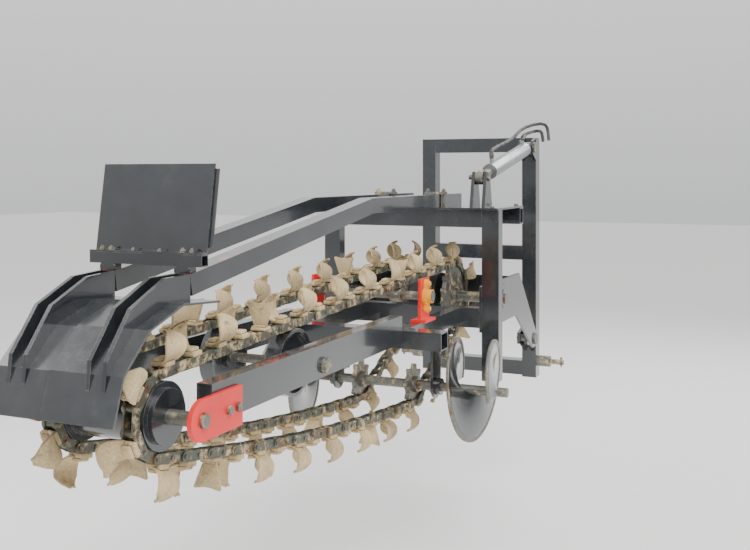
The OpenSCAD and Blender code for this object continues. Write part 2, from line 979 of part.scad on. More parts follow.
// Puts the middle of the top link hole at the origin
module placed() {
  translate([0, -top_link_y, -top_link_z])
    children();
}

placed() hitch_posts();
placed() hitch_cross_beams();
placed() lower_hitch_pins();
placed() top_link_lugs();
placed() pivot_lugs();
placed() pivot_pins();
placed() mast_lugs();
placed() mast_pin();
placed() lift_barrel();
placed() lift_rod();
placed() lift_bracket();
placed() lift_pin();
placed() portal_uprights();
placed() portal_cross_beams();
placed() portal_top_plate();
placed() portal_side_plates();
placed() pivot_arms();
placed() base_rails();
placed() rear_cross_member();
placed() side_beams();
placed() gearbox_housing();
placed() gearbox_mount_plate();
placed() input_shaft();
placed() head_shaft();
placed() head_sprockets();
placed() head_bearings();
placed() bearing_pedestals();
placed() flange_bearings();
placed() bearing_bolts();
placed() carrier_shaft();
placed() carrier_rollers();
placed() idler_wheels();
placed() idler_axle();
placed() crown_gear();
placed() bevel_pinion();
placed() tail_plates();
placed() tail_shaft();
placed() tail_drum();
placed() tail_bolts();
placed() auger_hangers();
placed() auger_shaft();
placed() auger_sprockets();
placed() right_auger_flight();
placed() left_auger_flight();
placed() right_chain_links();
placed() right_chain_pins();
placed() right_cutters();
placed() cutter_bolts();
placed() left_chain_links();
placed() left_chain_pins();
placed() left_cutters();
placed() crumber_beams();
placed() crumber_ribs();
placed() guard_left_plate();
placed() guard_right_plate();
placed() crossbar();
placed() lift_hoses();
placed() rear_panel();
placed() panel_backing_sheet();
placed() beam_clamps();
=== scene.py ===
import math
import random

import bpy
from mathutils import Matrix, Vector


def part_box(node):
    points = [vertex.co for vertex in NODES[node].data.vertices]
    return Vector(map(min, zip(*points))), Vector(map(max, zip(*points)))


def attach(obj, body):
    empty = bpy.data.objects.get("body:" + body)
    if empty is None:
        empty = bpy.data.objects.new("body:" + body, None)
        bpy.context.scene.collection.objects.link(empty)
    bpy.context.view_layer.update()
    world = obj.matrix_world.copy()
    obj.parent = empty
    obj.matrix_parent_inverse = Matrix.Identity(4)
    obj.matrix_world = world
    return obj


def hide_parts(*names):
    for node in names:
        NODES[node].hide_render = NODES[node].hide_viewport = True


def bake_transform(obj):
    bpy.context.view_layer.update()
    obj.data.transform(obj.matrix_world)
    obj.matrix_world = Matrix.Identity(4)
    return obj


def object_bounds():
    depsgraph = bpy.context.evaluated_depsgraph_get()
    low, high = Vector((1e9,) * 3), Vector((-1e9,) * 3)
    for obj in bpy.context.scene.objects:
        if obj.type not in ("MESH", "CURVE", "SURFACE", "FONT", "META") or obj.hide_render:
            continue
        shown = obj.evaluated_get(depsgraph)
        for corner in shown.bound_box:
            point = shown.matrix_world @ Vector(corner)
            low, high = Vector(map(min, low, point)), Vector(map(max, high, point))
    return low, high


bl_info = {
    "name": "Double-chain trencher",
    "version": (1, 0, 0),
    "blender": (4, 5, 0),
    "location": "3D View > Sidebar > Trencher",
    "description": "Builds the looks of a tractor-mounted double-chain trencher",
    "category": "Object",
}

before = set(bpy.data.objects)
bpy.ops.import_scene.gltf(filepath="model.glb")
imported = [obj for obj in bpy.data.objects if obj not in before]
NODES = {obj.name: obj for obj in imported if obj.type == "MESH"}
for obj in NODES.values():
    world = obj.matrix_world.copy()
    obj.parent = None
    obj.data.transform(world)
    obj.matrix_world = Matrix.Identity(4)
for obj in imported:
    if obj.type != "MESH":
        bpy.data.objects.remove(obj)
FIRST_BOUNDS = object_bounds()

# Sizes of what is modelled here, in metres and degrees
FLOOR_SIZE = 60
FLOOR_BELOW = 0.61
BLADE_T = 0.008
BLADE_HOLLOW = 0.005
BLADE_CREST = 78
CURL_START = -84
CURL_TURN = 161
BASE_X = 0.0255
BASE_Y = 0.0215
FLAT_BASE = 0.01
FLAT_T = 0.005
FLIGHT_TURN = 540
FLIGHT_END = 0.01
RIM_WIDE = 0.014
RIM_T = 0.0125
WEB_T = 0.009
WEB_LAP = 0.002
PLATE_BOLT = 0.011
# Each stud under the rear panel: its place along X and its size
PANEL_STUDS = (
    (-0.152, 0.009),
    (-0.122, 0.009),
    (-0.045, 0.0065),
    (0.045, 0.0065),
    (0.122, 0.009),
    (0.152, 0.009),
)
# Each ring of a hose's ferrule: where it starts and ends along the hose, and its radius
FERRULE_RINGS = ((0.0, 0.03, 0.0115), (0.004, 0.008, 0.0125), (0.013, 0.017, 0.0125), (0.022, 0.026, 0.0125))
# Each lamp: name, place, width and power
LAMPS = (
    ("key", (2.6, -4.7, 4.0), 3.5, 330),
    ("fill", (-4.2, -3.6, 2.0), 3.0, 120),
    ("back", (1.5, 3.5, 3.6), 4.0, 220),
)
LAMPS_AIM = (0, -1.9, -0.3)


# ---------------------------------------------------------------- helpers


def clear_selection():
    """Leaves nothing selected and no mode but object mode."""
    if bpy.context.object and bpy.context.object.mode != "OBJECT":
        bpy.ops.object.mode_set(mode="OBJECT")
    bpy.ops.object.select_all(action="DESELECT")


def settle(obj, name, body, material, angle=35):
    """Names a finished piece, puts its place in its mesh, gives it its finish and, unless it belongs to the
    chains, its body.
    """
    clear_selection()
    obj.select_set(True)
    bpy.context.view_layer.objects.active = obj
    bpy.ops.object.transform_apply(location=True, rotation=True, scale=True)
    bpy.ops.object.shade_smooth_by_angle(angle=math.radians(angle))
    obj.name = name
    obj.data.name = name
    obj.data.materials.clear()
    obj.data.materials.append(material)
    if body == "chain":
        follow_tail(obj)
    else:
        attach(obj, body)
    return obj


def follow_tail(obj):
    """Puts the place of a piece of the chains into its mesh; it is given to no body."""
    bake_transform(obj)


def apply_modifiers(obj):
    """Applies every modifier of a piece, in order."""
    clear_selection()
    obj.select_set(True)
    bpy.context.view_layer.objects.active = obj
    for m in list(obj.modifiers):
        bpy.ops.object.modifier_apply(modifier=m.name)


def bevelled(obj, width, segments=2, angle=30):
    """Rounds a piece's sharp edges."""
    m = obj.modifiers.new("Bevel", "BEVEL")
    m.width = width
    m.segments = segments
    m.limit_method = "ANGLE"
    m.angle_limit = math.radians(angle)
    apply_modifiers(obj)
    return obj


def joined(objs):
    """Joins several new pieces into one."""
    clear_selection()
    for o in objs:
        o.select_set(True)
    bpy.context.view_layer.objects.active = objs[0]
    if len(objs) > 1:
        bpy.ops.object.join()
    return bpy.context.view_layer.objects.active


def copy_placed(obj, matrix):
    """A copy of a piece with its own mesh, placed by a matrix."""
    twin = obj.copy()
    twin.data = obj.data.copy()
    bpy.context.collection.objects.link(twin)
    twin.data.transform(matrix)
    if matrix.determinant() < 0:
        twin.data.flip_normals()
    twin.data.update()
    return twin


def remove(obj):
    """Deletes a pattern piece and its mesh."""
    mesh = obj.data
    bpy.data.objects.remove(obj)
    bpy.data.meshes.remove(mesh)


def add_box(lo, hi):
    """A cube primitive that fills the box from lo to hi."""
    clear_selection()
    lo, hi = Vector(lo), Vector(hi)
    bpy.ops.mesh.primitive_cube_add(size=1, location=(lo + hi) / 2, scale=hi - lo)
    obj = bpy.context.object
    bpy.ops.object.transform_apply(location=True, rotation=True, scale=True)
    return obj


def add_rod(start, end, radius, sides=24):
    """A cylinder primitive between two points."""
    clear_selection()
    start, end = Vector(start), Vector(end)
    way = end - start
    bpy.ops.mesh.primitive_cylinder_add(vertices=sides, radius=radius, depth=way.length)
    obj = bpy.context.object
    turn = way.to_track_quat("Z", "Y").to_matrix().to_4x4()
    obj.data.transform(Matrix.Translation((start + end) / 2 - obj.location) @ turn)
    return obj


def add_plate(profile, x0, x1):
    """A plate from x0 to x1 whose side view is the outline of (y, z) points."""
    clear_selection()
    bpy.ops.mesh.primitive_circle_add(vertices=len(profile), fill_type="NGON")
    obj = bpy.context.object
    for v, (y, z) in zip(obj.data.vertices, profile):
        v.co = (x0, y, z)
    bpy.ops.object.mode_set(mode="EDIT")
    bpy.ops.mesh.select_all(action="SELECT")
    bpy.ops.mesh.extrude_region_move(TRANSFORM_OT_translate={"value": (x1 - x0, 0, 0)})
    bpy.ops.mesh.select_all(action="SELECT")
    bpy.ops.mesh.normals_make_consistent(inside=False)
    bpy.ops.object.mode_set(mode="OBJECT")
    return obj


# ---------------------------------------------------------------- materials


class Nodes:
    """Short names for adding and linking shader nodes."""

    def __init__(self, name, material=None):
        """Starts a material of that name, or goes on with one that has its nodes."""
        self.mat = material
        if material is None:
            self.mat = bpy.data.materials.new(name)
            self.mat.use_nodes = True
            self.mat.node_tree.nodes.clear()
        self.tree = self.mat.node_tree

    def add(self, kind, **values):
        """A node with its properties, and its sockets by name, set."""
        node = self.tree.nodes.new("ShaderNode" + kind)
        for key, value in values.items():
            if hasattr(node, key):
                setattr(node, key, value)
            else:
                self.put(node.inputs[key.replace("_", " ")], value)
        return node

    def put(self, socket, value):
        """Links an output to a socket, or sets the socket's own value."""
        if isinstance(value, bpy.types.NodeSocket):
            self.tree.links.new(value, socket)
        else:
            socket.default_value = value

    def noise(self, coords, scale, detail=4.0, rough=0.55):
        """Plain noise read at a scale."""
        n = self.add("TexNoise", Scale=scale, Detail=detail, Roughness=rough)
        self.put(n.inputs["Vector"], coords)
        return n.outputs["Fac"]

    def band(self, value, low, high, a=0.0, b=1.0):
        """Maps low..high of a value to a..b, held at the ends."""
        n = self.add("MapRange")
        for socket, v in zip(list(n.inputs)[:5], (value, low, high, a, b)):
            self.put(socket, v)
        return n.outputs[0]

    def math(self, operation, a, b=0.0):
        """One maths step."""
        n = self.add("Math", operation=operation)
        self.put(n.inputs[0], a)
        self.put(n.inputs[1], b)
        return n.outputs[0]

    def mix(self, factor, a, b):
        """A mix of two colours."""
        n = self.add("Mix", data_type="RGBA")
        self.put(n.inputs[0], factor)
        self.put(n.inputs[6], a)
        self.put(n.inputs[7], b)
        return n.outputs[2]

    def blend_value(self, factor, a, b):
        """A mix of two numbers."""
        n = self.add("Mix", data_type="FLOAT")
        self.put(n.inputs[0], factor)
        self.put(n.inputs[2], a)
        self.put(n.inputs[3], b)
        return n.outputs[0]

    def edges(self, radius):
        """How near a sharp edge is, from 0 to 1."""
        soft = self.add("Bevel", samples=4, Radius=radius).outputs["Normal"]
        hard = self.add("NewGeometry").outputs["Normal"]
        dot = self.add("VectorMath", operation="DOT_PRODUCT")
        self.put(dot.inputs[0], soft)
        self.put(dot.inputs[1], hard)
        return self.band(dot.outputs["Value"], 0.99, 0.86)

    def upward(self):
        """How far the surface faces up, from 0 to 1."""
        normal = self.add("NewGeometry").outputs["Normal"]
        part = self.add("SeparateXYZ")
        self.put(part.inputs[0], normal)
        return self.band(part.outputs["Z"], 0.1, 0.95)

    def finish(self, colour, rough, metal, height, strength, distance, coat=0.0, bevel=0.0):
        """The shader itself, with a bump from a height."""
        bump = self.add("Bump", Strength=strength, Distance=distance, Height=height)
        if bevel:
            self.put(bump.inputs["Normal"], self.add("Bevel", samples=4, Radius=bevel).outputs["Normal"])
        shader = self.add("BsdfPrincipled")
        self.put(shader.inputs["Base Color"], colour)
        self.put(shader.inputs["Roughness"], rough)
        self.put(shader.inputs["Metallic"], metal)
        self.put(shader.inputs["Coat Weight"], coat)
        self.put(shader.inputs["Coat Roughness"], 0.08)
        self.put(shader.inputs["Normal"], bump.outputs["Normal"])
        out = self.add("OutputMaterial")
        self.tree.links.new(shader.outputs[0], out.inputs[0])
        return self.mat


def rgba(colour, gain=1.0):
    """A colour property as four numbers, made lighter or darker."""
    return tuple(min(1.0, c * gain) for c in colour[:3]) + (1.0,)


def paint(name, colour, dust, dust_amount=0.3, rough=0.2, wear=0.5, coat=0.6):
    """Gloss paint with dust on what faces up, fine scratches and edges worn to steel."""
    n = Nodes(name)
    at = n.add("TexCoord").outputs["Object"]
    cloud = n.noise(at, 3.0, 6.0, 0.6)
    grain = n.noise(at, 90.0, 3.0, 0.7)
    streak = n.noise(at, 22.0, 8.0, 0.75)
    body = n.mix(n.band(cloud, 0.3, 0.7), rgba(colour, 0.8), rgba(colour, 1.35))
    lies = n.math("MULTIPLY", n.band(cloud, 0.35, 0.75), n.band(n.upward(), 0.0, 1.0, 0.25, 1.0))
    dirt = n.math("MULTIPLY", n.math("MULTIPLY", lies, n.band(streak, 0.35, 0.65)), dust_amount)
    dirty = n.mix(dirt, body, rgba(dust))
    chips = n.math("MULTIPLY", n.edges(0.004), n.band(streak, 0.47, 0.6))
    chips = n.math("MULTIPLY", chips, wear)
    worn = n.mix(chips, dirty, (0.23, 0.2, 0.17, 1.0))
    shine = n.blend_value(n.math("MAXIMUM", dirt, chips), n.band(grain, 0.2, 0.8, rough, rough + 0.12), 0.62)
    height = n.math("SUBTRACT", n.math("MULTIPLY", grain, 0.25), n.math("MULTIPLY", chips, 1.0))
    height = n.math("ADD", height, n.math("MULTIPLY", cloud, 0.6))
    return n.finish(worn, shine, n.math("MULTIPLY", chips, 0.7), height, 0.22, 0.0015, coat, 0.0015)


def soiled_steel(name, steel, soil, soil_amount=0.6, rough=0.45, brown=0.0):
    """Worked steel with dried soil caked on it, thin on the edges that cut."""
    n = Nodes(name)
    at = n.add("TexCoord").outputs["Object"]
    cloud = n.noise(at, 9.0, 6.0, 0.6)
    grain = n.noise(at, 130.0, 4.0, 0.7)
    cake = n.noise(at, 38.0, 8.0, 0.65)
    bare = n.mix(n.band(grain, 0.3, 0.7), rgba(steel, 0.75), rgba(steel, 1.2))
    bare = n.mix(n.band(n.noise(at, 17.0, 5.0, 0.7), 0.52, 0.68), bare, (0.2, 0.1, 0.045, 1.0))
    earth = n.mix(n.band(cloud, 0.3, 0.7), rgba(soil, 0.62), rgba(soil, 1.25))
    earth = n.mix(n.band(grain, 0.45, 0.8), earth, rgba(soil, 1.45))
    edge = n.math("MULTIPLY", n.edges(0.004), 0.85)
    bare = n.mix(brown, bare, (0.16, 0.1, 0.055, 1.0))
    level = n.math("ADD", cake, n.math("MULTIPLY", cloud, 0.35))
    cover = n.band(level, 0.68 - 0.3 * soil_amount, 0.8 - 0.25 * soil_amount)
    cover = n.math("MULTIPLY", cover, n.math("SUBTRACT", 1.0, edge))
    colour = n.mix(cover, bare, earth)
    shine = n.blend_value(cover, n.band(grain, 0.2, 0.8, rough, rough + 0.15), 0.9)
    metal = n.math("MULTIPLY", n.math("SUBTRACT", 1.0, cover), 0.75)
    height = n.math("ADD", n.math("MULTIPLY", cover, 0.6), n.math("MULTIPLY", grain, 0.5))
    return n.finish(colour, shine, metal, height, 0.55, 0.0025, 0.0, 0.001)


def clean_metal(name, colour, dust, rough=0.28):
    """Honed or machined metal with fine marks and a little dust."""
    n = Nodes(name)
    at = n.add("TexCoord").outputs["Object"]
    grain = n.noise(at, 160.0, 3.0, 0.7)
    cloud = n.noise(at, 7.0, 5.0, 0.6)
    body = n.mix(n.band(grain, 0.3, 0.7), rgba(colour, 0.85), rgba(colour, 1.15))
    dirt = n.math("MULTIPLY", n.band(cloud, 0.5, 0.75), 0.45)
    dirty = n.mix(dirt, body, rgba(dust))
    shine = n.blend_value(dirt, n.band(grain, 0.2, 0.8, rough, rough + 0.15), 0.7)
    return n.finish(dirty, shine, n.math("SUBTRACT", 0.85, dirt), grain, 0.12, 0.001, 0.0, 0.001)


def smudged(c):
    """The black paint with smears of red rubbed on the top faces near the tail."""
    m = paint("smudged_paint", c.black, c.dust, 0.22, 0.16, 0.55, 0.8)
    shader = next(node for node in m.node_tree.nodes if node.type == "BSDF_PRINCIPLED")
    n = Nodes(m.name, m)
    at = n.add("TexCoord").outputs["Object"]
    part = n.add("SeparateXYZ")
    n.put(part.inputs[0], at)
    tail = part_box("tail_plates")[1].y
    near = n.band(part.outputs["Y"], tail + 0.55, tail - 0.05)
    smear = n.band(n.noise(at, 19.0, 7.0, 0.6), 0.53, 0.6)
    amount = n.math("MULTIPLY", n.math("MULTIPLY", near, smear), n.upward())
    under = shader.inputs["Base Color"].links[0].from_socket
    n.put(shader.inputs["Base Color"], n.mix(n.math("MULTIPLY", amount, 0.85), under, rgba(c.red)))
    return m


def rubber(name, colour, dust):
    """Matt hose cover with a wrapped-cloth texture and dust."""
    n = Nodes(name)
    at = n.add("TexCoord").outputs["Object"]
    grain = n.noise(at, 240.0, 3.0, 0.7)
    cloud = n.noise(at, 14.0, 5.0, 0.6)
    dirt = n.math("MULTIPLY", n.band(cloud, 0.42, 0.7), 0.35)
    dirty = n.mix(dirt, rgba(colour), rgba(dust))
    return n.finish(dirty, n.band(grain, 0.2, 0.8, 0.5, 0.7), 0.0, grain, 0.35, 0.001)


def ground(name, colour):
    """The plain pale floor."""
    n = Nodes(name)
    at = n.add("TexCoord").outputs["Object"]
    grain = n.noise(at, 6.0, 6.0, 0.6)
    body = n.mix(n.band(grain, 0.3, 0.7), rgba(colour, 0.985), rgba(colour, 1.0))
    return n.finish(body, 0.9, 0.0, grain, 0.05, 0.002)


FINISHES = {}


def finish_of(slot):
    """The material of a material slot in the record."""
    if slot not in FINISHES:
        raise RuntimeError("run the finishes operator first: no finish for " + slot)
    return FINISHES[slot]


# ---------------------------------------------------------------- places read from the CAD


def islands(node):
    """The corner places of each separate solid in a CAD node."""
    mesh = NODES[node].data
    places, ids, parent = {}, [], []

    def top(i):
        while parent[i] != i:
            parent[i] = parent[parent[i]]
            i = parent[i]
        return i

    for v in mesh.vertices:
        key = tuple(round(c, 5) for c in v.co)
        if key not in places:
            places[key] = len(parent)
            parent.append(len(parent))
        ids.append(places[key])
    for face in mesh.polygons:
        first = top(ids[face.vertices[0]])
        for v in face.vertices[1:]:
            parent[top(ids[v])] = first
    groups = {}
    for key, i in places.items():
        groups.setdefault(top(i), []).append(Vector(key))
    return list(groups.values())


def corners(points):
    """The lowest and highest corner of some points."""
    low = Vector([min(p[i] for p in points) for i in range(3)])
    high = Vector([max(p[i] for p in points) for i in range(3)])
    return low, high


def chain_frames(pins_node):
    """A matrix for each link of a chain, from its pins: +Y along the run, +Z away from the loop."""
    at = [sum(corners(g), Vector()) / 2 for g in islands(pins_node)]
    middle = sum(at, Vector()) / len(at)
    loop = [at.pop(0)]
    while at:
        at.sort(key=lambda p: (p - loop[-1]).length)
        loop.append(at.pop(0))
    frames = []
    for a, b in zip(loop, loop[1:] + loop[:1]):
        along = (b - a).normalized()
        out = Vector((1, 0, 0)).cross(along)
        if (middle - (a + b) / 2).dot(out) > 0:
            out = -out
        side = along.cross(out)
        turn = Matrix((side, along, out)).transposed().to_4x4()
        frames.append(Matrix.Translation((a + b) / 2) @ turn)
    return frames


# ---------------------------------------------------------------- settings


def colour_prop(name, description, default):
    """A colour setting."""
    return bpy.props.FloatVectorProperty(
        name=name, description=description, default=default, subtype="COLOR", size=3, min=0.0, max=1.0
    )


class TrencherColours(bpy.types.PropertyGroup):
    """The colours of the machine and of the dirt on it"""

    black: colour_prop("Black paint", "Gloss black of the frame", (0.013, 0.016, 0.019))
    red: colour_prop("Red paint", "Red of the tail plates and pedestals", (0.7, 0.012, 0.008))
    orange: colour_prop("Orange paint", "Orange of the flange bearings", (0.95, 0.37, 0.006))
    grey: colour_prop("Grey paint", "Grey of the lift cylinder", (0.33, 0.35, 0.36))
    steel: colour_prop("Steel", "Bare steel of the chains and shafts", (0.2, 0.205, 0.185))
    chain: colour_prop("Chain", "Oily grey-green steel of the chains", (0.13, 0.14, 0.115))
    soil: colour_prop("Soil", "Dried soil on the cutters", (0.5, 0.385, 0.215))
    dust: colour_prop("Dust", "Light dust on the paint", (0.33, 0.33, 0.31))
    floor: colour_prop("Floor", "The floor and backdrop", (0.86, 0.86, 0.85))


class TrencherCamera(bpy.types.PropertyGroup):
    """Where the camera stands"""

    place: bpy.props.FloatVectorProperty(
        name="Place",
        description="Camera's place in the row frame",
        default=(1.65, -5.388, 0.44),
        subtype="TRANSLATION",
        unit="LENGTH",
    )
    turn: bpy.props.FloatProperty(
        name="Turn",
        description="Turn to the left of straight ahead",
        default=math.radians(23.6),
        subtype="ANGLE",
        unit="ROTATION",
    )
    lens: bpy.props.FloatProperty(
        name="Lens", description="Focal length", default=45.6, min=10.0, unit="CAMERA"
    )
    drop: bpy.props.FloatProperty(
        name="Drop",
        description="Shift of the view downwards, as a share of the long side",
        default=0.1333,
        min=0.0,
        max=0.5,
    )


class TRENCHER_OT_finishes(bpy.types.Operator):
    """Make every finish and give it to the CAD nodes"""

    bl_idname = "trencher.finishes"
    bl_label = "Finishes"

    def execute(self, context):
        c = context.scene.trencher_colours
        FINISHES["black_paint"] = paint("black_paint", c.black, c.dust, 0.22, 0.16, 0.55, 0.8)
        FINISHES["red_paint"] = paint("red_paint", c.red, c.dust, 0.16, 0.34, 0.45, 0.15)
        FINISHES["orange_paint"] = paint("orange_paint", c.orange, c.dust, 0.16, 0.4, 0.5, 0.1)
        FINISHES["grey_paint"] = clean_metal("grey_paint", c.grey, c.dust, 0.25)
        FINISHES["cast_housing"] = paint("cast_housing", c.black, c.dust, 0.6, 0.45, 0.4, 0.1)
        FINISHES["bare_steel"] = soiled_steel("bare_steel", c.steel, c.soil, -0.1, 0.36)
        FINISHES["dirty_steel"] = soiled_steel("dirty_steel", c.steel, c.soil, 0.85, 0.5, 1.0)
        FINISHES["hose_rubber"] = rubber("hose_rubber", (0.012, 0.012, 0.013), c.dust)
        FINISHES["smudged_paint"] = smudged(c)
        FINISHES["chain_steel"] = soiled_steel("chain_steel", c.chain, c.soil, 0.0, 0.45)
        own = {"side_beams": "smudged_paint", "crumber_beams": "smudged_paint"}
        for side in ("right", "left"):
            own[side + "_chain_links"] = "chain_steel"
            own[side + "_chain_pins"] = "chain_steel"
        for node, obj in NODES.items():
            for s in obj.material_slots:
                slot = s.material.name.split(".")[0]
                s.link = "OBJECT"
                s.material = finish_of(own.get(node, slot))
        return {"FINISHED"}


class TRENCHER_OT_stage(bpy.types.Operator):
    """Lay the floor, set the lights and place the camera"""

    bl_idname = "trencher.stage"
    bl_label = "Floor, light and camera"

    def execute(self, context):
        c = context.scene.trencher_colours
        view = context.scene.trencher_camera
        low = FIRST_BOUNDS[0]
        clear_selection()
        bpy.ops.mesh.primitive_plane_add(size=FLOOR_SIZE, location=(0, 0, low.z - FLOOR_BELOW))
        floor = context.object
        floor.name = "floor"
        floor.data.materials.append(ground("floor", c.floor))
        world = bpy.data.worlds.new("studio")
        world.use_nodes = True
        tree = world.node_tree
        back = tree.nodes["Background"]
        at = tree.nodes.new("ShaderNodeTexCoord")
        ramp = tree.nodes.new("ShaderNodeValToRGB")
        split = tree.nodes.new("ShaderNodeSeparateXYZ")
        half = tree.nodes.new("ShaderNodeMath")
        half.operation = "MULTIPLY_ADD"
        half.inputs[1].default_value = 0.5
        half.inputs[2].default_value = 0.5
        tree.links.new(at.outputs["Generated"], split.inputs[0])
        tree.links.new(split.outputs["Z"], half.inputs[0])
        tree.links.new(half.outputs[0], ramp.inputs[0])
        ramp.color_ramp.elements[0].position = 0.47
        ramp.color_ramp.elements[0].color = (0.66, 0.67, 0.68, 1)
        ramp.color_ramp.elements[1].position = 0.62
        ramp.color_ramp.elements[1].color = (1, 1, 1, 1)
        tree.links.new(ramp.outputs[0], back.inputs[0])
        back.inputs[1].default_value = 1.1
        context.scene.world = world
        for name, place, size, power in LAMPS:
            bpy.ops.object.light_add(type="AREA", location=place)
            lamp = context.object
            lamp.name = name
            lamp.data.size = size
            lamp.data.energy = power
            aim = Vector(LAMPS_AIM) - Vector(place)
            lamp.rotation_euler = aim.to_track_quat("-Z", "Y").to_euler()
        bpy.ops.object.camera_add(location=view.place, rotation=(math.radians(90), 0, view.turn))
        cam = context.object
        cam.name = "camera"
        cam.data.lens = view.lens
        cam.data.sensor_width = 36
        cam.data.shift_y = -view.drop
        context.scene.camera = cam
        return {"FINISHED"}


# How wide a cup's blade is, as a share of its widest, at shares of its height
BLADE = (
    (0.0, 0.52),
    (0.12, 0.66),
    (0.28, 0.86),
    (0.42, 0.97),
    (0.58, 0.985),
    (0.7, 0.95),
    (0.84, 0.62),
    (0.95, 0.24),
    (1.0, 0.06),
)


def share(level):
    """How wide a cup's blade is at a height, as a share of its widest."""
    for (a, wa), (b, wb) in zip(BLADE, BLADE[1:]):
        if level <= b:
            return wa + (wb - wa) * max(0.0, (level - a) / (b - a))
    return BLADE[-1][1]


def cup_pattern(low, high, reach):
    """A cup cutter at rest on its link: a pointed blade curling to +X, on a base block."""
    z0, z1 = low.z, high.z
    curl = high.x - BLADE_T / 2
    middle = z1 - high.x * math.sin(math.radians(BLADE_CREST))
    rows, columns = 26, 8
    clear_selection()
    bpy.ops.mesh.primitive_grid_add(x_subdivisions=rows, y_subdivisions=columns, size=1)
    blade = bpy.context.object
    for v in blade.data.vertices:
        t, across = v.co.x + 0.5, v.co.y * 2
        angle = math.radians(CURL_START + CURL_TURN * t)
        height = middle + curl * math.sin(angle)
        wide = reach * share((height - z0) / (z1 - z0))
        hollow = BLADE_HOLLOW * (1 - across**2)
        r = curl - hollow
        v.co = (r * math.cos(angle), across * wide, middle + r * math.sin(angle))
    m = blade.modifiers.new("Thickness", "SOLIDIFY")
    m.thickness = BLADE_T * 0.85
    m.offset = 0
    apply_modifiers(blade)
    bevelled(blade, 0.0018, 2, 40)
    base_top = middle - curl + BLADE_T / 2
    base = bevelled(add_box((-BASE_X, -BASE_Y, z0), (BASE_X, BASE_Y, base_top + 0.002)), 0.003, 2)
    neck = bevelled(add_box((-0.017, -0.02, base_top), (0.012, 0.02, base_top + 0.012)), 0.005, 3)
    return joined([blade, base, neck])


def flat_pattern(low, high, base_top):
    """A flat cutter: a trapezoid blade standing across the run, welded on its base."""
    wide = high.x - 0.0005
    right = (
        (0.02, base_top - 0.002),
        (wide, high.z - 0.004),
        (wide - 0.004, high.z - 0.0005),
        (0.012, high.z - 0.006),
    )
    left = [(-across, up) for across, up in reversed(right)]
    blade = add_plate((left[-1], *right, *left[:-1]), -FLAT_T, FLAT_T)
    blade.data.transform(Matrix.Rotation(math.radians(90), 4, "Z"))
    bevelled(blade, 0.0015, 2)
    base = bevelled(add_box((-BASE_X, -BASE_Y, low.z), (BASE_X, BASE_Y, base_top)), 0.003, 2)
    welds = []
    for y in (-0.011, 0.011):
        weld = add_box((-0.02, min(y, 0), base_top - 0.001), (0.02, max(y, 0), base_top + 0.007))
        welds.append(bevelled(weld, 0.003, 2))
    return joined([blade, base, *welds])


class TRENCHER_OT_cutters(bpy.types.Operator):
    """Model one cup cutter and one flat cutter, and set them on both chains"""

    bl_idname = "trencher.cutters"
    bl_label = "Cutters"

    def execute(self, context):
        dice = random.Random(7)
        for side in ("right", "left"):
            frames = chain_frames(side + "_chain_pins")
            placed = []
            patterns = {}
            for solid in islands(side + "_cutters"):
                best = None
                for f in frames:
                    back = f.inverted()
                    lo, hi = corners([back @ p for p in solid])
                    if lo.z > 0 and abs(lo.y + hi.y) / 2 < 0.02:
                        miss = abs(lo.y + hi.y)
                        if best is None or miss < best[0]:
                            best = (miss, f, lo, hi)
                if best is None:
                    raise RuntimeError("a cutter of the " + side + " chain sits on no link")
                _, f, lo, hi = best
                turn = Matrix.Identity(4)
                if abs(lo.x + hi.x) < 0.002:
                    kind = "flat"
                else:
                    kind = "cup"
                    if lo.x + hi.x < 0:
                        turn = Matrix.Scale(-1, 4, (1, 0, 0))
                        lo.x, hi.x = -hi.x, -lo.x
                if kind not in patterns:
                    if kind == "cup":
                        patterns[kind] = cup_pattern(lo, hi, (hi.y - lo.y) / 2)
                    else:
                        patterns[kind] = flat_pattern(lo, hi, lo.z + FLAT_BASE)
                wear = Matrix.Scale(dice.uniform(0.965, 1.0), 4, (0, 1, 0))
                placed.append(copy_placed(patterns[kind], f @ turn @ wear))
            for p in patterns.values():
                remove(p)
            piece = joined(placed)
            settle(piece, side + "_cutter_set", "chain", finish_of("dirty_steel"), 50)
            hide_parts(side + "_cutters")
        return {"FINISHED"}


class TRENCHER_OT_chains(bpy.types.Operator):
    """Copy the links, pins and cutter bolts of the chains into pieces of their own, with their finishes"""

    bl_idname = "trencher.chains"
    bl_label = "Chains"

    def execute(self, context):
        chains = [side + kind for side in ("right", "left") for kind in ("_chain_links", "_chain_pins")]
        for node in (*chains, "cutter_bolts"):
            finish = "dirty_steel" if node == "cutter_bolts" else "chain_steel"
            piece = bpy.data.objects.new(node + "_run", NODES[node].data.copy())
            context.collection.objects.link(piece)
            settle(piece, node + "_run", "chain", finish_of(finish), 40)
            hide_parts(node)
        return {"FINISHED"}


